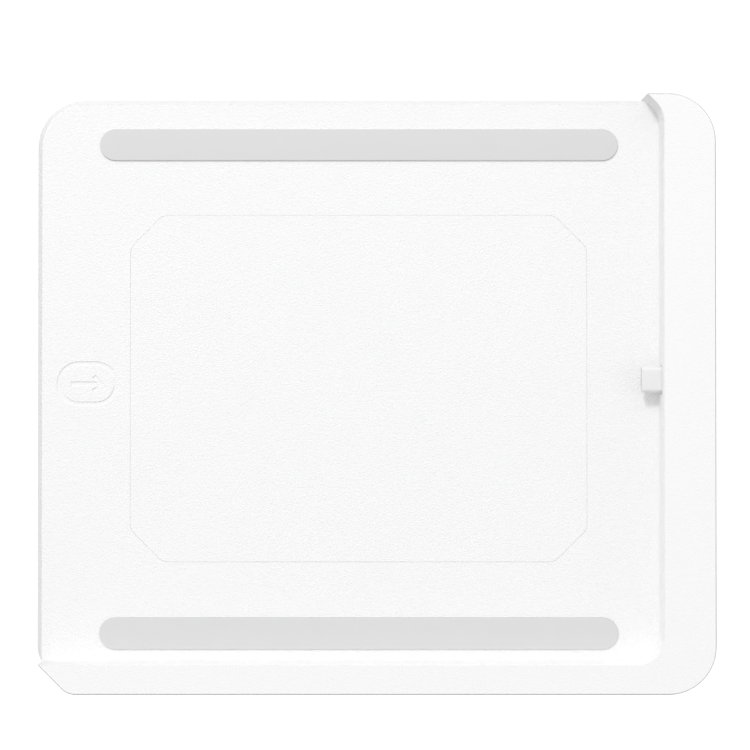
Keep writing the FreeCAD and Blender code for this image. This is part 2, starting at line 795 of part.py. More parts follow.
def make_access_panel():
    """Panel over the wall fixings, with pockets for its four steel discs."""
    body = new_body("access_panel")
    sketch = new_sketch(body, "panel_sketch", ledge_face)
    draw_outline(sketch, octagon("0"))
    pad(body, "panel_plate", sketch, "panel_thick")
    sketch = new_sketch(body, "disc_sketch", ledge_face)
    draw_circles(sketch, magnet_spots, "magnet_radius + pocket_gap")
    pocket(body, "disc_pockets", sketch, "disc_thick", upwards=True)
    discs = [rod(f"disc_{i + 1}", "magnet_radius", "disc_thick", (x, y, ledge_face))
             for i, (x, y) in enumerate(magnet_spots)]
    node("panel_discs", group("disc_group", discs))
    magnets = [rod(f"magnet_{i + 1}", "magnet_radius", "magnet_thick",
                   (x, y, f"{ledge_face} - magnet_thick"))
               for i, (x, y) in enumerate(magnet_spots)]
    node("panel_magnets", group("magnet_group", magnets))


def make_mount_plate():
    """Steel plate with the two monitor bolt patterns and the cable window."""
    body = new_body("mount_plate")
    half = "(steel_side / 2)"
    corners = [(f"panel_centre + {a} * {half}", f"panel_height + {b} * {half}", "steel_round")
               for a, b in ((-1, -1), (1, -1), (1, 1), (-1, 1))]
    window = [(f"panel_centre + {a} * steel_window_length / 2",
               f"panel_height + {b} * steel_window_width / 2", "window_round")
              for a, b in ((-1, -1), (1, -1), (1, 1), (-1, 1))]
    sketch = new_sketch(body, "steel_sketch", floor_top)
    draw_outline(sketch, corners)
    draw_outline(sketch, window)
    for name in ("wide", "narrow"):
        draw_circles(sketch, pattern_spots(f"{name}_pattern"), "bolt_hole_radius")
    draw_circles(sketch, stake_spots, "stake_radius + stake_gap")
    pad(body, "steel_plate", sketch, "steel_thick")


def make_grommet():
    """Rubber lining of the cable opening, flanged on top of the floor."""
    body = new_body("cable_grommet")
    outer_length = "(outlet_length - 2 * pocket_gap)"
    outer_width = "(outlet_width - 2 * pocket_gap)"
    bore_length = "(outlet_length - 2 * grommet_wall)"
    bore_width = "(outlet_width - 2 * grommet_wall)"
    sketch = new_sketch(body, "grommet_sketch", rear_face)
    draw_outline(sketch, slot_corners(outer_length, outer_width, outlet_x, "panel_height"))
    draw_outline(sketch, slot_corners(bore_length, bore_width, outlet_x, "panel_height"))
    pad(body, "grommet_sleeve", sketch, "floor_thick")
    sketch = new_sketch(body, "flange_sketch", floor_top)
    draw_outline(sketch, slot_corners("(outlet_length + 2 * grommet_flange)",
                                      "(outlet_width + 2 * grommet_flange)",
                                      outlet_x, "panel_height"))
    draw_outline(sketch, slot_corners(bore_length, bore_width, outlet_x, "panel_height"))
    pad(body, "grommet_flange_pad", sketch, "grommet_lip")


def screw(name, x, y, seat, shank):
    """A pan-head screw whose head seats at a height; the shank runs up."""
    head = rod(f"{name}_head", "screw_head_radius", "screw_head_height",
               (x, y, f"{seat} - screw_head_height"))
    stem = rod(f"{name}_stem", "screw_radius", shank, (x, y, seat))
    drive = rod(f"{name}_drive", "screw_radius * 0.7", "screw_head_height / 2",
                (x, y, f"{seat} - screw_head_height"))
    return cut(name, fuse(f"{name}_blank", [head, stem]), drive)


def make_shell_fasteners():
    inserts = []
    screws = []
    for i, (x, y) in enumerate(screw_spots):
        outer = rod(f"insert_{i + 1}_outer", "insert_radius", "insert_length",
                    (x, y, f"{floor_top} + insert_sink"))
        bore = rod(f"insert_{i + 1}_bore", "insert_bore", "insert_length",
                   (x, y, f"{floor_top} + insert_sink"))
        inserts.append(cut(f"insert_{i + 1}", outer, bore))
        screws.append(screw(f"shell_screw_{i + 1}", x, y, f"({rear_face} + screw_recess)",
                            "floor_thick - screw_recess + insert_length"))
    node("shell_inserts", group("insert_group", inserts))
    node("shell_screws", group("shell_screw_group", screws))


def stadium_x(name, width, thick, length, start_x):
    """A flat bar with round sides that runs along X at the plug's axis."""
    half = f"(({width}) / 2 - ({thick}) / 2)"
    flat = box(f"{name}_flat", (length, f"2 * {half}", thick),
               (start_x, f"plug_centre - {half}", f"plug_height - ({thick}) / 2"))
    sides = [rod(f"{name}_side_{i}", f"({thick}) / 2", length,
                 (start_x, f"plug_centre + {side} * {half}", "plug_height"), "X")
             for i, side in enumerate((-1, 1))]
    return fuse(name, [flat] + sides)


def make_plug():
    """Steel shell, tongue block and contacts of the plug, open at its tip."""
    tip = f"({bay_right} - plug_exposed)"
    length = f"({overmould_x} - {tip})"
    inner_width = "(plug_width - 2 * plug_wall)"
    inner_thick = "(plug_thick - 2 * plug_wall)"
    outer = stadium_x("plug_outer", "plug_width", "plug_thick", length, tip)
    inner = stadium_x("plug_inner", inner_width, inner_thick, length, tip)
    node("plug_shell", cut("plug_shell_cut", outer, inner))

    # the insulator fills the shell's root and lines its two flats
    fill = stadium_x("insulator_fill", inner_width, inner_thick,
                     f"{length} - insulator_setback", f"{tip} + insulator_setback")
    mouth_width = f"({inner_width} - 2 * mouth_margin)"
    mouth = box("insulator_mouth",
                ("plug_exposed - insulator_setback", mouth_width, "tongue_thick"),
                (f"{tip} + insulator_setback", f"plug_centre - {mouth_width} / 2",
                 "plug_height - tongue_thick / 2"))
    block = cut("insulator_block", fill, mouth)
    first = "(plug_centre - (contact_row - 1) / 2 * contact_pitch)"
    contacts = []
    for i in range(int(number("contact_row"))):
        for level in ("low", "high"):
            base = ("plug_height - tongue_thick / 2" if level == "low" else
                    "plug_height + tongue_thick / 2 - contact_thick")
            contacts.append(box(f"contact_{level}_{i + 1}",
                                ("contact_length", "contact_width", "contact_thick"),
                                (f"{tip} + contact_start",
                                 f"{first} + {i} * contact_pitch - contact_width / 2",
                                 base)))
    node("plug_insulator", block)
    node("plug_contacts", group("contact_group", contacts))

    body = new_body("plug_overmould")
    feature = body_box(body, "Additive", "overmould_block",
                       ("overmould_length", "overmould_width", "overmould_thick"),
                       (overmould_x, "plug_centre - overmould_width / 2", overmould_z))
    dress(body, "Fillet", "overmould_edges", feature,
          lambda edge: abs(edge.BoundBox.XLength - number("overmould_length")) < 0.01
          and edge.BoundBox.ZMin > number("plug_height"), "overmould_round")


def make_carriage():
    """Slider under the overmould, bored for the two guide rods."""
    top = overmould_z
    block = box("carriage_block",
                ("carriage_length", "carriage_width", f"{top} - carriage_bottom"),
                (carriage_x, "plug_centre - carriage_width / 2", "carriage_bottom"))
    bores = [rod(f"carriage_bore_{i + 1}", "rod_radius + rod_gap", "carriage_width + 2",
                 (f"{rod_middle} + {side} * rod_spacing / 2",
                  "plug_centre - carriage_width / 2 - 1", "rod_height"), "Y")
             for i, side in enumerate((-1, 1))]
    node("plug_carriage", cut("carriage_cut", block, fuse("carriage_bores", bores)))


def make_bracket():
    """Trough that carries the guide rods, screwed up into the rim."""
    reach = "(bracket_width / 2 + bracket_ear)"
    floor = box("bracket_base", ("bracket_length", f"2 * {reach}", "bracket_floor"),
                (bracket_x, f"plug_centre - {reach}", "bracket_bottom"))
    height = "(bracket_wall_top - bracket_bottom)"
    walls = [box("bracket_wall_low", ("bracket_length", "bracket_wall", height),
                 (bracket_x, "plug_centre - bracket_width / 2", "bracket_bottom")),
             box("bracket_wall_high", ("bracket_length", "bracket_wall", height),
                 (bracket_x, "plug_centre + bracket_width / 2 - bracket_wall",
                  "bracket_bottom"))]
    bores = [rod(f"bracket_bore_{i + 1}", "rod_radius + rod_gap", "bracket_width + 2",
                 (f"{rod_middle} + {side} * rod_spacing / 2",
                  "plug_centre - bracket_width / 2 - 1", "rod_height"), "Y")
             for i, side in enumerate((-1, 1))]
    holes = [rod(f"bracket_hole_{i + 1}", "screw_radius + screw_clearance",
                 "bracket_floor + 2",
                 (boss_x, f"plug_centre + {side} * {boss_reach}", "bracket_bottom - 1"))
             for i, side in enumerate((-1, 1))]
    node("plug_bracket", cut("bracket_cut", fuse("bracket_blank", [floor] + walls),
                             fuse("bracket_holes", bores + holes)))
    screws = [screw(f"bracket_screw_{i + 1}", boss_x,
                    f"plug_centre + {side} * {boss_reach}", "bracket_bottom",
                    "bracket_shank")
              for i, side in enumerate((-1, 1))]
    node("bracket_screws", group("bracket_screw_group", screws))


def make_rods_and_springs():
    length = "(bracket_width + 2 * clip_thick + 2 * rod_end)"
    start = "(plug_centre - bracket_width / 2 - clip_thick - rod_end)"
    rods = []
    clips = []
    for i, side in enumerate((-1, 1)):
        x = f"{rod_middle} + {side} * rod_spacing / 2"
        blank = rod(f"rod_{i + 1}_blank", "rod_radius", length, (x, start, "rod_height"), "Y")
        grooves = []
        for j, y in enumerate(("plug_centre - bracket_width / 2 - clip_thick",
                               "plug_centre + bracket_width / 2")):
            ring = rod(f"groove_{i + 1}_{j + 1}_ring", "rod_radius + 1", "clip_thick",
                       (x, y, "rod_height"), "Y")
            core = rod(f"groove_{i + 1}_{j + 1}_core", "rod_radius - groove_deep", "clip_thick",
                       (x, y, "rod_height"), "Y")
            grooves.append(cut(f"groove_{i + 1}_{j + 1}", ring, core))
            disc = rod(f"clip_{i + 1}_{j + 1}_disc", "clip_radius", "clip_thick",
                       (x, y, "rod_height"), "Y")
            hole = rod(f"clip_{i + 1}_{j + 1}_hole", "rod_radius - groove_deep + 0.03", "clip_thick",
                       (x, y, "rod_height"), "Y")
            mouth = box(f"clip_{i + 1}_{j + 1}_mouth",
                        ("clip_mouth", "clip_thick", "clip_radius + 1"),
                        (f"{x} - clip_mouth / 2", y, "rod_height - clip_radius - 1"))
            clips.append(cut(f"clip_{i + 1}_{j + 1}", disc,
                             fuse(f"clip_{i + 1}_{j + 1}_void", [hole, mouth])))
        rods.append(cut(f"rod_{i + 1}", blank, fuse(f"grooves_{i + 1}", grooves)))
    node("guide_rods", group("rod_group", rods))
    node("rod_clips", group("rod_clip_group", clips))

    # one coil of square wire on each rod at each side of the carriage
    free = number("bracket_width / 2 - bracket_wall - carriage_width / 2")
    wire = number("spring_wire / 2")
    radius = number("spring_radius")
    pitch = (free - 4 * wire) / number("spring_turns")
    for label, y in (("float_spring_upper", number("plug_centre + carriage_width / 2")),
                     ("float_spring_lower",
                      number("plug_centre - carriage_width / 2") - free)):
        coils = []
        for side in (-1, 1):
            helix = Part.makeHelix(pitch, free - 4 * wire, radius)
            section = Part.makePolygon([
                Vector(radius + a * wire, 0, b * wire)
                for a, b in ((-1, -1), (1, -1), (1, 1), (-1, 1), (-1, -1))])
            coil = Part.Wire(helix.Edges).makePipeShell([section], True, True)
            coil.rotate(Vector(), Vector(1, 0, 0), -90)
            x = number(f"{rod_middle} + {side} * rod_spacing / 2")
            coil.translate(Vector(x, y + 2 * wire, number("rod_height")))
            coils.append(coil)
        item = doc.addObject("Part::Feature", label)
        item.Shape = Part.Compound(coils)
        node(label, item)


def rounded_path(points, radii):
    """Straight runs joined by tangent arcs; one radius for each inner point."""
    edges = []
    here = points[0]
    for before, corner, after, radius in zip(points, points[1:], points[2:], radii):
        back = (before - corner).normalize()
        ahead = (after - corner).normalize()
        half = back.getAngle(ahead) / 2
        reach = radius / math.tan(half)
        start = corner + back * reach
        end = corner + ahead * reach
        centre = corner + (back + ahead).normalize() * (radius / math.sin(half))
        middle = centre + (corner - centre).normalize() * radius
        edges.append(Part.LineSegment(here, start).toShape())
        edges.append(Part.Arc(start, middle, end).toShape())
        here = end
    edges.append(Part.LineSegment(here, points[-1]).toShape())
    return Part.Wire(edges)


def lead_radius_at(before, corner, after):
    """The largest arc that the two runs beside a corner allow."""
    turn = math.pi - (before - corner).getAngle(after - corner)
    run = min((before - corner).Length, (after - corner).Length)
    return 0.45 * run / math.tan(turn / 2)


def make_lead():
    """Inner power lead, from the plug's overmould to the inlet's board."""
    radius = number("lead_radius")
    x_rim = number(f"{rod_middle} - lead_offset")
    y_exit = number("plug_centre - overmould_width / 2")
    low = number("lead_floor_height")
    high = number("lead_plate_height")
    board_x = number("panel_centre + board_offset")
    board_y = number("panel_height")
    run = number("lead_plug_run")
    drop = run + number("lead_drop")
    # down inside the rim, then by hand-placed points round the screws to the board
    points = [
        Vector(x_rim, y_exit, number("plug_height")),
        Vector(x_rim, y_exit - run, number("plug_height")),
        Vector(x_rim, y_exit - drop, low),
        Vector(x_rim - 0.8, y_exit - drop - number("lead_side_run"), low),
        Vector(x_rim - 12, y_exit - 48, low),
        Vector(x_rim - 22, y_exit - 38, low),
        Vector(x_rim - 24, y_exit - 18, low),
        Vector(x_rim - 36, y_exit - 5, low + 0.3),
        Vector(x_rim - 46, y_exit + 1, high),
        Vector(board_x + 18, board_y, high),
        Vector(board_x + 6, board_y, high),
    ]
    radii = [lead_radius_at(*three) for three in zip(points, points[1:], points[2:])]
    print("lead arc radii", [round(value, 1) for value in radii])
    path = rounded_path(points, radii)
    direction = points[1] - points[0]
    section = Part.Wire(Part.makeCircle(radius, points[0], direction))
    tube = path.makePipeShell([section], True, True)
    expected = math.pi * radius ** 2 * path.Length
    if abs(tube.Volume - expected) > 0.01 * expected:
        raise ValueError("the lead's volume is not its section times its length")
    print("lead length", round(path.Length, 1))
    item = doc.addObject("Part::Feature", "power_lead")
    item.Shape = tube
    node("power_lead", item)

    # two clips on the floor hold the lead on its level runs
    clips = []
    for a, b in ((points[3], points[4]), (points[5], points[6])):
        middle = (a + b) * 0.5
        along = b - a
        along.z = 0
        angle = math.degrees(math.atan2(along.y, along.x))
        side = number("clip_block")
        length = number("clip_length")
        floor = number(floor_top)
        top = middle.z + radius + 3 * number("clip_gap")
        block = Part.makeBox(length, side, top - floor, Vector(-length / 2, -side / 2, floor))
        channel = Part.makeCylinder(radius + number("clip_gap"), 2 * length,
                                    Vector(-length, 0, middle.z), Vector(1, 0, 0))
        lip = number("clip_lip")
        mouth = Part.makeBox(2 * length, 2 * (radius - lip), 2 * radius,
                             Vector(-length, -radius + lip, middle.z))
        clip = block.cut(channel).cut(mouth)
        clip.rotate(Vector(), Vector(0, 0, 1), angle)
        clip.translate(Vector(middle.x, middle.y, 0))
        clips.append(clip)
    item = doc.addObject("Part::Feature", "lead_clips")
    item.Shape = Part.Compound(clips)
    node("lead_clips", item)


def make_inlet():
    """Socket on a small board beside the cable opening, under the panel."""
    x = "(panel_centre + board_offset - board_length / 2)"
    board_z = f"({floor_top} + board_rise)"
    top = f"({board_z} + board_thick)"
    board = box("board_blank", ("board_length", "board_width", "board_thick"),
                (x, "panel_height - board_width / 2", board_z))
    screw_x = f"({x} + board_length - inlet_screw_end)"
    screw_y = [f"panel_height + {side} * (board_width / 2 - inlet_screw_edge)"
               for side in (-1, 1)]
    holes = [rod(f"board_hole_{i + 1}", "inlet_screw_radius + inlet_screw_gap",
                 "board_thick + 2", (screw_x, y, f"{board_z} - 1"))
             for i, y in enumerate(screw_y)]
    node("inlet_board", cut("board_cut", board, fuse("board_holes", holes)))
    outer = box("socket_outer", ("socket_length", "socket_width", "socket_height"),
                (x, "panel_height - socket_width / 2", top))
    inner = box("socket_inner",
                ("socket_length - socket_back", "socket_width - 2 * socket_wall",
                 "socket_height - 2 * socket_wall"),
                (x, "panel_height - socket_width / 2 + socket_wall",
                 f"{top} + socket_wall"))
    node("inlet_socket_shell", cut("socket_cut", outer, inner))
    tongue = box("socket_tongue_blade", ("tongue_length", "tongue_width", "tongue_height"),
                 (f"{x} + tongue_start", "panel_height - tongue_width / 2",
                  f"{top} + socket_height / 2 - tongue_height / 2"))
    node("inlet_socket_tongue", tongue)

    # saddle that holds the lead down behind the socket
    cover_x = f"({x} + board_length - inlet_cover_length)"
    height = f"(lead_plate_height + lead_radius + inlet_cover_roof - {top})"
    block = box("cover_block", ("inlet_cover_length", "board_width - 1", height),
                (cover_x, "panel_height - (board_width - 1) / 2", top))
    tunnel = rod("cover_tunnel", "lead_radius + pocket_gap", "inlet_cover_length",
                 (cover_x, "panel_height", "lead_plate_height"), "X")
    relief = box("cover_relief", ("inlet_cover_length", "2 * (lead_radius + pocket_gap)",
                                  f"lead_plate_height - {top}"),
                 (cover_x, "panel_height - lead_radius - pocket_gap", top))
    shoulders = [box(f"cover_shoulder_{i + 1}",
                     ("inlet_cover_length", "inlet_shoulder_width", height),
                     (cover_x, f"{y} - inlet_shoulder_width / 2",
                      f"{top} + inlet_shoulder"))
                 for i, y in enumerate(screw_y)]
    bores = [rod(f"cover_bore_{i + 1}", "inlet_screw_radius + inlet_screw_gap",
                 f"{height} + 1", (screw_x, y, f"{top} - 1"))
             for i, y in enumerate(screw_y)]
    node("inlet_cover", cut("cover_cut", block,
                            fuse("cover_voids", [tunnel, relief] + shoulders + bores)))
    screws = []
    for i, y in enumerate(screw_y):
        head = rod(f"inlet_screw_head_{i + 1}", "inlet_screw_head",
                   "inlet_screw_head_height", (screw_x, y, f"{top} + inlet_shoulder"))
        stem = rod(f"inlet_screw_stem_{i + 1}", "inlet_screw_radius",
                   "inlet_shoulder + board_thick", (screw_x, y, board_z))
        screws.append(fuse(f"inlet_screw_{i + 1}", [head, stem]))
    node("inlet_screws", group("inlet_screw_group", screws))


make_front_tray()
make_rear_shell()
make_feet()
make_grip_strips()
make_access_panel()
make_mount_plate()
make_grommet()
make_shell_fasteners()
make_plug()
make_carriage()
make_bracket()
make_rods_and_springs()
make_lead()
make_inlet()
doc.recompute()

for item in doc.Objects:
    if "Invalid" in item.State or "Error" in item.State:
        raise ValueError(f"{item.Label} failed: {item.State}")
for label, item in nodes.items():
    if item.Shape.isNull() or not item.Shape.isValid() or not item.Shape.Solids:
        raise ValueError(f"{label} has no valid shape")

os.makedirs("parts", exist_ok=True)
for label, item in nodes.items():
    item.Shape.exportStep(f"parts/{label}.step")
print(len(nodes), "nodes written")
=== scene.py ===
import json
import math

import bpy
import numpy as np
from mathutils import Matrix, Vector


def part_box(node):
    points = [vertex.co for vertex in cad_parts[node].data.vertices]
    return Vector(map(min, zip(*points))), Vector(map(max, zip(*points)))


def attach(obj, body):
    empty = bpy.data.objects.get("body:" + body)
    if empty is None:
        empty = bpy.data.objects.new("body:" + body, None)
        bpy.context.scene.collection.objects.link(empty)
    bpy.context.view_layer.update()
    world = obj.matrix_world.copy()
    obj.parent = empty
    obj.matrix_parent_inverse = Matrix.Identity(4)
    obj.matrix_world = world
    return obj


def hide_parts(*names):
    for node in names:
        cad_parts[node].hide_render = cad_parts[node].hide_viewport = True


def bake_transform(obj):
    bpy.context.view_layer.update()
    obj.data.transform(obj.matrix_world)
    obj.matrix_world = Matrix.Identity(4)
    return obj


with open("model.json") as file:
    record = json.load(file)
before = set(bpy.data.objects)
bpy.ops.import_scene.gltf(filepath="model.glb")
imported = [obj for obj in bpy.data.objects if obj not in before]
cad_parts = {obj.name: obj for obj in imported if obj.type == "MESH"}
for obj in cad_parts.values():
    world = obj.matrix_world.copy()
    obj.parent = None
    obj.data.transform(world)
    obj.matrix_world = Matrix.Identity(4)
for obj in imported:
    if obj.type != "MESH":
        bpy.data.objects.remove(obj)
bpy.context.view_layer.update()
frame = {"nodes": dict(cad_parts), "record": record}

mm = 0.001
scene = bpy.context.scene
print("frame loaded:", len(frame["nodes"]), "nodes")


def addNode(tree, kind, place, **inputs):
    # inputs by name, with _ for a space
    node = tree.nodes.new(kind)
    node.location = place
    for key, value in inputs.items():
        node.inputs[key.replace("_", " ")].default_value = value
    return node


def startMaterial(name, look):
    # principled shader with its constants straight on the sockets
    material = bpy.data.materials.new(name)
    material.use_nodes = True
    tree = material.node_tree
    shader = tree.nodes["Principled BSDF"]
    shader.inputs["Base Color"].default_value = (*look["colour"], 1.0)
    shader.inputs["Roughness"].default_value = look["roughness"]
    shader.inputs["Metallic"].default_value = look.get("metallic", 0.0)
    shader.inputs["Specular IOR Level"].default_value = look.get("specular", 0.5)
    coords = addNode(tree, "ShaderNodeTexCoord", (-1200, 0))
    return material, tree, shader, coords.outputs["Object"]


# detail and roughness of the noises
grainy = (4.0, 0.65)
cloudy = (3.0, 0.5)
lined = (4.0, 0.6)


def noiseHeight(tree, coords, scale, kind, place):
    noise = addNode(tree, "ShaderNodeTexNoise", place,
                    Scale=scale, Detail=kind[0], Roughness=kind[1])
    tree.links.new(coords, noise.inputs["Vector"])
    return noise.outputs["Fac"]


usualNoise = (0.3, 0.7)  # where most of a noise texture's values lie


def spread(tree, source, low, high, place):
    # noise value to a range, clamped
    node = addNode(tree, "ShaderNodeMapRange", place)
    node.inputs["From Min"].default_value = usualNoise[0]
    node.inputs["From Max"].default_value = usualNoise[1]
    node.inputs["To Min"].default_value = low
    node.inputs["To Max"].default_value = high
    tree.links.new(source, node.inputs["Value"])
    return node.outputs["Result"]


def tint(tree, factor, first, second, place):
    # the mix node's colour inputs are 6 and 7, and its colour output is 2
    node = tree.nodes.new("ShaderNodeMix")
    node.data_type = "RGBA"
    node.location = place
    node.inputs[6].default_value = (*first, 1.0)
    node.inputs[7].default_value = (*second, 1.0)
    tree.links.new(factor, node.inputs[0])
    return node.outputs[2]


def bump(tree, height, strength, distance, place, under=None):
    # height to a normal, on top of another bump's normal where one is given
    node = addNode(tree, "ShaderNodeBump", place, Strength=strength, Distance=distance)
    tree.links.new(height, node.inputs["Height"])
    if under is not None:
        tree.links.new(under, node.inputs["Normal"])
    return node.outputs["Normal"]


shellLook = {
    "colour": (0.955, 0.955, 0.955),
    "shade": (0.942, 0.942, 0.944),
    "roughness": 0.5,
    "specular": 0.18,
    "grainScale": 1250.0,  # cells per metre
    "grainStrength": 0.35,
    "grainDepth": 0.0008,
    "pitScale": 2600.0,
    "pitStrength": 0.25,
    "plateTop": 10.6 * mm,  # the plate's face; the rim above it is smoother
    "fade": 0.5 * mm,
    "rimShare": 0.25,  # of the plate's grain strength
    "cloudScale": 60.0,
    "gloss": (0.46, 0.56),
}


def texturedShell(name, smoothAbove=None):
    # spark-eroded grain on moulded plastic; above a height the surface is smoother
    material, tree, shader, coords = startMaterial(name, shellLook)
    look = shellLook
    grain = noiseHeight(tree, coords, look["grainScale"], grainy, (-900, -200))
    pits = addNode(tree, "ShaderNodeTexVoronoi", (-900, -450), Scale=look["pitScale"])
    tree.links.new(coords, pits.inputs["Vector"])
    depth = look["grainDepth"]
    fine = bump(tree, pits.outputs["Distance"], look["pitStrength"], depth, (-500, -450))
    coarse = bump(tree, grain, look["grainStrength"], depth, (-250, -300), fine)
    tree.links.new(coarse, shader.inputs["Normal"])
    if smoothAbove is not None:
        split = addNode(tree, "ShaderNodeSeparateXYZ", (-900, 200))
        tree.links.new(coords, split.inputs["Vector"])
        fade = addNode(tree, "ShaderNodeMapRange", (-700, 200))
        fade.inputs["From Min"].default_value = smoothAbove
        fade.inputs["From Max"].default_value = smoothAbove + look["fade"]
        fade.inputs["To Min"].default_value = look["grainStrength"]
        fade.inputs["To Max"].default_value = look["grainStrength"] * look["rimShare"]
        tree.links.new(split.outputs["Z"], fade.inputs["Value"])
        tree.links.new(fade.outputs["Result"], coarse.node.inputs["Strength"])
    cloud = noiseHeight(tree, coords, look["cloudScale"], cloudy, (-900, 450))
    tree.links.new(tint(tree, cloud, look["colour"], look["shade"], (-300, 300)),
                   shader.inputs["Base Color"])
    tree.links.new(spread(tree, cloud, *look["gloss"], (-500, 100)), shader.inputs["Roughness"])
    return material


skin = {"cloudScale": 140.0, "scale": 900.0, "strength": 0.12, "depth": 0.02 * mm,
        "smoother": 0.05, "rougher": 0.07}


def siliconeRubber(name, look):
    # smooth silicone with a faint cloudiness and a very shallow skin
    material, tree, shader, coords = startMaterial(name, look)
    cloud = noiseHeight(tree, coords, skin["cloudScale"], cloudy, (-900, 300))
    tree.links.new(tint(tree, cloud, look["colour"], look["shade"], (-300, 300)),
                   shader.inputs["Base Color"])
    height = noiseHeight(tree, coords, skin["scale"], cloudy, (-900, -200))
    tree.links.new(bump(tree, height, skin["strength"], skin["depth"], (-300, -200)),
                   shader.inputs["Normal"])
    tree.links.new(spread(tree, height, look["roughness"] - skin["smoother"],
                          look["roughness"] + skin["rougher"], (-500, 60)),
                   shader.inputs["Roughness"])
    return material


polish = {"scale": 400.0, "depth": 0.02 * mm, "smoother": 0.07, "rougher": 0.1}


def metal(name, look):
    # machined or plated metal with fine lines along one axis
    material, tree, shader, coords = startMaterial(name, look)
    stretch = addNode(tree, "ShaderNodeMapping", (-1000, -100), Scale=look["lines"])
    tree.links.new(coords, stretch.inputs["Vector"])
    lines = noiseHeight(tree, stretch.outputs["Vector"], polish["scale"], lined, (-800, -100))
    tree.links.new(bump(tree, lines, look["grain"], polish["depth"], (-300, -200)),
                   shader.inputs["Normal"])
    tree.links.new(spread(tree, lines, look["roughness"] - polish["smoother"],
                          look["roughness"] + polish["rougher"], (-500, 60)),
                   shader.inputs["Roughness"])
    tree.links.new(tint(tree, lines, look["colour"], look["shade"], (-300, 300)),
                   shader.inputs["Base Color"])
    return material


metalLooks = {
    "zincSteel": {"colour": (0.62, 0.63, 0.65), "shade": (0.54, 0.55, 0.56), "roughness": 0.34,
                  "metallic": 1.0, "grain": 0.15, "lines": (1.0, 12.0, 1.0)},
    "brightSteel": {"colour": (0.74, 0.74, 0.75), "shade": (0.66, 0.66, 0.67),
                    "roughness": 0.22, "metallic": 1.0, "grain": 0.1, "lines": (1.0, 8.0, 1.0)},
    "nickel": {"colour": (0.78, 0.76, 0.72), "shade": (0.72, 0.7, 0.67), "roughness": 0.16,
               "metallic": 1.0, "grain": 0.05, "lines": (1.0, 1.0, 1.0)},
    "brass": {"colour": (0.78, 0.58, 0.28), "shade": (0.7, 0.5, 0.22), "roughness": 0.3,
              "metallic": 1.0, "grain": 0.12, "lines": (1.0, 1.0, 6.0)},
    "goldFlash": {"colour": (0.95, 0.74, 0.34), "shade": (0.9, 0.68, 0.3), "roughness": 0.2,
                  "metallic": 1.0, "grain": 0.05, "lines": (1.0, 1.0, 1.0)},
    "coatedSteel": {"colour": (0.84, 0.84, 0.84), "shade": (0.82, 0.82, 0.82), "roughness": 0.38,
                    "metallic": 0.0, "grain": 0.06, "lines": (1.0, 1.0, 1.0)},
}

plasticLooks = {
    "darkRubber": {"colour": (0.035, 0.035, 0.036), "shade": (0.05, 0.05, 0.05),
                   "roughness": 0.7},
    "blackNylon": {"colour": (0.02, 0.02, 0.021), "shade": (0.03, 0.03, 0.03),
                   "roughness": 0.48},
    "paleOvermould": {"colour": (0.78, 0.78, 0.78), "shade": (0.75, 0.75, 0.755),
                      "roughness": 0.5},
    "cableJacket": {"colour": (0.74, 0.74, 0.74), "shade": (0.71, 0.71, 0.72),
                    "roughness": 0.44},
    "solderMask": {"colour": (0.01, 0.11, 0.045), "shade": (0.012, 0.14, 0.06),
                   "roughness": 0.3},
    "gripSilicone": {"colour": (0.7, 0.7, 0.7), "shade": (0.685, 0.685, 0.69),
                     "roughness": 0.62},
    "plugInsert": {"colour": (0.42, 0.42, 0.42), "shade": (0.38, 0.38, 0.385),
                   "roughness": 0.5},
}

finish = {name: metal(name, look) for name, look in metalLooks.items()}
finish.update({name: siliconeRubber(name, look) for name, look in plasticLooks.items()})
finish["frontShell"] = texturedShell("frontShell", shellLook["plateTop"])
finish["rearShell"] = texturedShell("rearShell")
print("materials made:", len(finish))


joinWithin = 0.002 * mm
cornerAngle = math.radians(32)  # sharper corners than this stay sharp


def mergedCopy(nodeName):
    # the node's loose triangles with shared corners, shaded smooth up to a corner angle
    source = frame["nodes"][nodeName].data
    corners = np.zeros(len(source.vertices) * 3, np.float32)
    source.vertices.foreach_get("co", corners)
    corners = corners.reshape(-1, 3).astype(float)
    loops = np.zeros(len(source.loops), np.int32)
    source.loops.foreach_get("vertex_index", loops)
    first, back = np.unique(np.round(corners / joinWithin).astype(np.int64), axis=0,
                            return_index=True, return_inverse=True)[1:]
    triangles = back.reshape(-1)[loops].reshape(-1, 3)
    whole = ((triangles[:, 0] != triangles[:, 1]) & (triangles[:, 1] != triangles[:, 2])
             & (triangles[:, 2] != triangles[:, 0]))
    mesh = bpy.data.meshes.new(nodeName + "Skin")
    mesh.from_pydata(corners[first].tolist(), [], triangles[whole].tolist())
    mesh.polygons.foreach_set("use_smooth", np.ones(len(mesh.polygons), bool))
    mesh.set_sharp_from_angle(angle=cornerAngle)
    piece = bpy.data.objects.new(nodeName + "Skin", mesh)
    scene.collection.objects.link(piece)
    return piece


def settle(piece, body, slotName, material, *nodeNames):
    # rides on its body, or, where it is given two ends instead of a body, keeps its place with
    # its transform baked in; takes its finish and hides its nodes
    piece.data.materials.clear()
    piece.data.materials.append(material)
    if isinstance(body, str):
        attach(piece, body)
    else:
        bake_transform(piece)
    if nodeNames:
        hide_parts(*nodeNames)


bodyOf = {node: body for body, members in frame["record"]["behaviour"]["bodies"].items()
          for node in members}
slotOf = {row["node"]: row["material_slot"] for row in frame["record"]["subparts"]}
finishOf = {
    "white_shell": "frontShell", "grey_rubber": "gripSilicone", "dark_rubber": "darkRubber",
    "zinc_steel": "zincSteel", "bright_steel": "brightSteel", "plug_steel": "coatedSteel",
    "brass": "brass", "black_plastic": "blackNylon", "white_overmould": "paleOvermould",
    "white_cable": "cableJacket", "green_board": "solderMask", "magnet_nickel": "nickel",
    "gold_contact": "goldFlash",
}

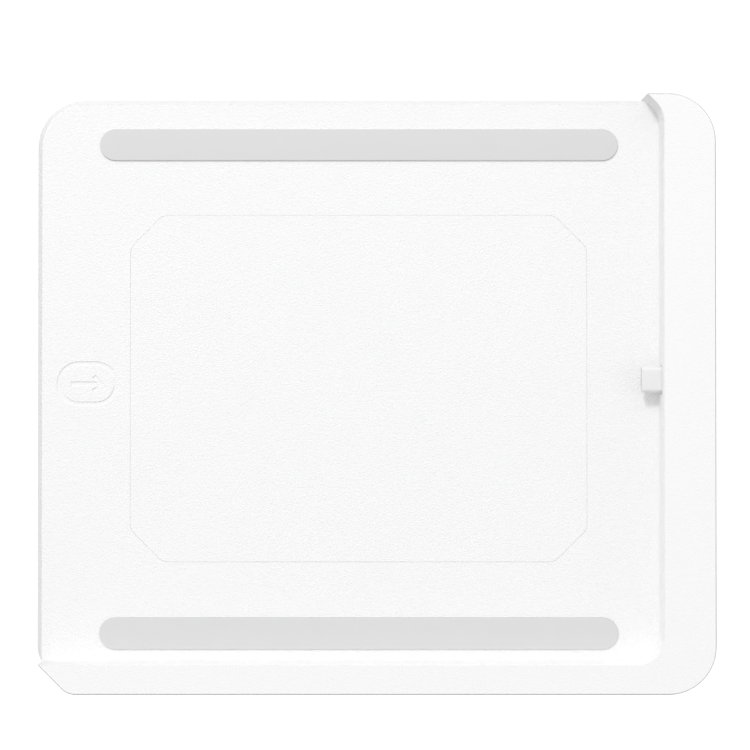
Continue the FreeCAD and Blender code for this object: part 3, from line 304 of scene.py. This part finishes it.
# inset is from the shell's right-hand side, and back is how far the tip moves towards it
hookTip = {"inset": 22.65 * mm, "within": 0.1 * mm, "back": 1.3 * mm}


def bluntHook(piece):
    # the rear shell's sharp hook ends under the front moulding's rounded one
    mesh = piece.data
    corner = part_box("rear_shell")[1]
    spots = np.zeros(len(mesh.vertices) * 3, np.float32)
    mesh.vertices.foreach_get("co", spots)
    spots = spots.reshape(-1, 3)
    away = np.hypot(spots[:, 0] - corner[0] + hookTip["inset"], spots[:, 1] - corner[1])
    spots[away < hookTip["within"], 0] += hookTip["back"]
    mesh.vertices.foreach_set("co", spots.reshape(-1))
    mesh.update()


ownFinish = {"rear_shell": "rearShell", "plug_insulator": "plugInsert"}

leadBend = {"run": 14 * mm}


def stretchOf(nodeName):
    # the ends between which a spring or the lead gives way: (on the tray, on the plug)
    low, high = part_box(nodeName)
    if nodeName == "float_spring_upper":
        return Vector((0, high.y, 0)), Vector((0, low.y, 0))
    if nodeName == "float_spring_lower":
        return Vector((0, low.y, 0)), Vector((0, high.y, 0))
    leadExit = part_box("plug_overmould")[0]
    end = Vector((high.x, leadExit.y, 0))
    return end - Vector((leadBend["run"], leadBend["run"], 0)), end


yielding = ("float_spring_upper", "float_spring_lower", "power_lead")
for nodeName in sorted(frame["nodes"]):
    slotName = slotOf[nodeName]
    material = finish[ownFinish.get(nodeName, finishOf[slotName])]
    piece = mergedCopy(nodeName)
    if nodeName == "rear_shell":
        bluntHook(piece)
    body = stretchOf(nodeName) if nodeName in yielding else bodyOf[nodeName]
    settle(piece, body, slotName, material, nodeName)
print("CAD shapes skinned")


seam = {
    "gap": 0.18 * mm,     # between the panel and the tray
    "slack": 0.045 * mm,  # what the lip leaves open
    "sunk": 0.04 * mm,    # lip's outer edge below the face
    "thick": 0.6 * mm,
    "lap": 0.05 * mm,     # lip inside the panel's edge
    "cut": 10.4 * mm,     # panel's cut corners
    "round": 4.5 * mm,
    "arcSteps": 8,
}
eighth = math.radians(45)


def eightSided(low, high, cut, radius, steps):
    # arc by arc, each turning an eighth about its own centre; the straight runs lie between
    half = np.array([high[0] - low[0], high[1] - low[1]]) / 2
    middle = np.array([high[0] + low[0], high[1] + low[1]]) / 2
    reach = radius * math.tan(eighth / 2)
    turn = np.linspace(0.0, 1.0, steps + 1)
    points, normals = [], []
    for quarter, signs in enumerate(np.array([(1, 1), (-1, 1), (-1, -1), (1, -1)])):
        for corner in (0, 1):
            start = eighth * (2 * quarter + corner)
            angle = start + turn * eighth
            normal = np.stack([np.cos(angle), np.sin(angle)], axis=1)
            upright = (corner == 0) == (quarter % 2 == 0)
            tip = signs * (half - (np.array([0, cut]) if upright else np.array([cut, 0])))
            first = np.array([math.cos(start), math.sin(start)])
            along = np.array([-first[1], first[0]])
            centre = tip - along * reach - first * radius
            points.append(middle + centre + normal * radius)
            normals.append(normal)
    return np.concatenate(points), np.concatenate(normals)


def wrappedGrid(name, grid):
    # rows and columns both close on themselves; faces turned so that the volume is positive
    rows, columns = grid.shape[:2]
    i, j = np.meshgrid(np.arange(rows), np.arange(columns), indexing="ij")
    nextI, nextJ = (i + 1) % rows, (j + 1) % columns
    faces = np.stack([i * columns + j, nextI * columns + j,
                      nextI * columns + nextJ, i * columns + nextJ], axis=-1).reshape(-1, 4)
    spots = grid.reshape(-1, 3)
    corner = spots[faces]
    volume = np.einsum("ij,ij->", corner[:, 0], np.cross(corner[:, 1], corner[:, 2])
                       + np.cross(corner[:, 2], corner[:, 3]))
    if volume < 0:
        faces = faces[:, ::-1]
    mesh = bpy.data.meshes.new(name)
    mesh.from_pydata(spots.tolist(), [], faces.tolist())
    mesh.polygons.foreach_set("use_smooth", np.ones(len(mesh.polygons), bool))
    mesh.set_sharp_from_angle(angle=cornerAngle)
    piece = bpy.data.objects.new(name, mesh)
    scene.collection.objects.link(piece)
    return piece


def makeSeamLip():
    # soft lip round the panel that closes the moulding gap to a hairline
    low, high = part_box("access_panel")
    path, normals = eightSided(low, high, seam["cut"], seam["round"], seam["arcSteps"])
    out = seam["gap"] - seam["slack"]
    lap = -seam["lap"]
    top = high.z
    profile = np.array([(lap, top - seam["thick"]), (out, top - seam["thick"]),
                        (out, top - seam["sunk"]), (out / 2, top - seam["sunk"] / 4),
                        (lap, top - seam["sunk"] / 2)])
    # profile (out, up) carried along the path; out runs along the path's normal
    grid = np.empty((len(path), len(profile), 3))
    grid[:, :, :2] = path[:, None, :] + normals[:, None, :] * profile[None, :, :1]
    grid[:, :, 2] = profile[None, :, 1]
    piece = wrappedGrid("panelSeamLip", grid)
    settle(piece, "panel", "white_shell", finish["frontShell"])


gaiter = {
    "wall": 2.2 * mm,     # rim's inner wall
    "setback": 0.5 * mm,  # plug shell's end behind that wall
    "slot": (9.41 * mm, 2.76 * mm),
    "corner": 0.3 * mm,
    "front": 0.06 * mm,   # behind the wall's face
    "deep": 0.6 * mm,
    "thick": 0.15 * mm,
    "slack": 0.02 * mm,   # round the plug
    "rings": 9,
    "cornerSteps": 7,
}


def roundedLoop(width, height, corner, steps):
    # four quarter circles about the corners' centres; (across, up) pairs
    quarter = np.linspace(0.0, np.pi / 2, steps)
    angle = np.concatenate([quarter + k * np.pi / 2 for k in range(4)])
    signX = np.repeat([1.0, -1.0, -1.0, 1.0], steps)
    signY = np.repeat([1.0, 1.0, -1.0, -1.0], steps)
    return np.stack([signX * (width / 2 - corner) + corner * np.cos(angle),
                     signY * (height / 2 - corner) + corner * np.sin(angle)], axis=1)


def makePlugGaiter():
    # funnel from the slot's edge inwards to the plug: its loop goes from the slot's to the
    # plug's by u * u * (3 - 2 * u) while x runs evenly; the wall is doubled along x
    low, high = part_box("plug_shell")
    width, height = high.y - low.y + gaiter["slack"], high.z - low.z + gaiter["slack"]
    inner = roundedLoop(width, height, height / 2, gaiter["cornerSteps"])
    outer = roundedLoop(*gaiter["slot"], gaiter["corner"], gaiter["cornerSteps"])
    front = high.x - gaiter["setback"] - gaiter["wall"] + gaiter["front"]
    u = np.linspace(0.0, 1.0, gaiter["rings"])
    u = np.concatenate([u, u[::-1]])[:, None, None]
    shift = np.repeat([0.0, gaiter["thick"]], gaiter["rings"])[:, None]
    ease = u * u * (3 - 2 * u)
    grid = np.empty((2 * gaiter["rings"], len(inner), 3))
    grid[:, :, 0] = front + u[:, :, 0] * gaiter["deep"] + shift
    grid[:, :, 1:] = outer * (1 - ease) + inner * ease
    grid[:, :, 1] += (low.y + high.y) / 2
    grid[:, :, 2] += (low.z + high.z) / 2
    piece = wrappedGrid("plugGaiter", grid)
    middle = Vector((front, (low.y + high.y) / 2, (low.z + high.z) / 2))
    deepEnd = middle + Vector((gaiter["deep"], 0, 0))
    settle(piece, (middle, deepEnd), "white_overmould", finish["paleOvermould"])


makeSeamLip()
makePlugGaiter()
print("fitted pieces made")


stage = {"size": 6.0, "drop": 0.05 * mm, "glow": 0.9, "colour": (0.25, 0.25, 0.25),
         "roughness": 0.9}


def makeFloor():
    # a white sheet just under the feet that throws no light on the object
    half = stage["size"] / 2
    mesh = bpy.data.meshes.new("floor")
    corners = [(-half, -half), (half, -half), (half, half), (-half, half)]
    mesh.from_pydata([(x, y, -stage["drop"]) for x, y in corners], [], [(0, 1, 2, 3)])
    floor = bpy.data.objects.new("floor", mesh)
    scene.collection.objects.link(floor)
    material = bpy.data.materials.new("floorWhite")
    material.use_nodes = True
    shader = material.node_tree.nodes["Principled BSDF"]
    shader.inputs["Base Color"].default_value = (*stage["colour"], 1.0)
    shader.inputs["Roughness"].default_value = stage["roughness"]
    shader.inputs["Specular IOR Level"].default_value = 0.0
    shader.inputs["Emission Color"].default_value = (1.0, 1.0, 1.0, 1.0)
    shader.inputs["Emission Strength"].default_value = stage["glow"]
    mesh.materials.append(material)
    floor.visible_diffuse = False
    floor.visible_glossy = False


sky = {"mean": 0.785, "east": 0.02, "north": 0.15, "horizon": -0.02, "full": 0.2}
lamps = {
    "key": {"towards": (-0.31, 0.63, 0.71), "distance": 2.5, "size": 0.5, "power": 21.0},
    "northFill": {"towards": (0.05, 0.85, 0.5), "distance": 0.8, "size": 0.6, "power": 0.15},
    "eastFill": {"towards": (0.95, 0.12, 0.2), "distance": 1.0, "size": 0.4, "power": 0.4},
}


def combine(tree, kind, operation, place):
    # a math node with its operation
    node = addNode(tree, kind, place)
    node.operation = operation
    return node


def makeLight():
    # a dome, dark below the horizon and brighter to the north and east, a key and two fills
    world = bpy.data.worlds.new("studio")
    scene.world = world
    world.use_nodes = True
    tree = world.node_tree
    background = tree.nodes["Background"]
    background.inputs["Color"].default_value = (1.0, 1.0, 1.0, 1.0)
    coords = addNode(tree, "ShaderNodeTexCoord", (-1100, 0))
    split = addNode(tree, "ShaderNodeSeparateXYZ", (-900, 150))
    tree.links.new(coords.outputs["Generated"], split.inputs["Vector"])
    rise = addNode(tree, "ShaderNodeMapRange", (-700, 150))
    rise.inputs["From Min"].default_value = sky["horizon"]
    rise.inputs["From Max"].default_value = sky["full"]
    tree.links.new(split.outputs["Z"], rise.inputs["Value"])
    lean = combine(tree, "ShaderNodeVectorMath", "DOT_PRODUCT", (-700, -150))
    lean.inputs[1].default_value = (sky["east"], sky["north"], 0.0)
    tree.links.new(coords.outputs["Generated"], lean.inputs[0])
    level = combine(tree, "ShaderNodeMath", "ADD", (-500, -150))
    level.inputs[1].default_value = sky["mean"]
    tree.links.new(lean.outputs["Value"], level.inputs[0])
    product = combine(tree, "ShaderNodeMath", "MULTIPLY", (-250, 0))
    tree.links.new(rise.outputs["Result"], product.inputs[0])
    tree.links.new(level.outputs["Value"], product.inputs[1])
    tree.links.new(product.outputs["Value"], background.inputs["Strength"])
    for name, plan in lamps.items():
        lamp = bpy.data.lights.new(name, "AREA")
        lamp.energy = plan["power"]
        lamp.shape = "DISK"
        lamp.size = plan["size"]
        holder = bpy.data.objects.new(name, lamp)
        holder.location = Vector(plan["towards"]).normalized() * plan["distance"]
        holder.rotation_euler = holder.location.to_track_quat("Z", "Y").to_euler()
        scene.collection.objects.link(holder)


lens = {"at": (0.0002, 0.0008, 0.5775), "tilt": 0.52, "focal": 84.3, "sensor": 36.0,
        "near": 0.01, "far": 20.0}


def makeCamera():
    # straight down from above, leaning a little towards the top edge
    data = bpy.data.cameras.new("camera")
    data.lens = lens["focal"]
    data.sensor_width = lens["sensor"]
    data.clip_start = lens["near"]
    data.clip_end = lens["far"]
    camera = bpy.data.objects.new("camera", data)
    camera.location = lens["at"]
    camera.rotation_euler = (math.radians(lens["tilt"]), 0.0, 0.0)
    scene.collection.objects.link(camera)
    scene.camera = camera


makeFloor()
makeLight()
makeCamera()
scene.view_settings.view_transform = "Standard"
print("stage, light and camera set")
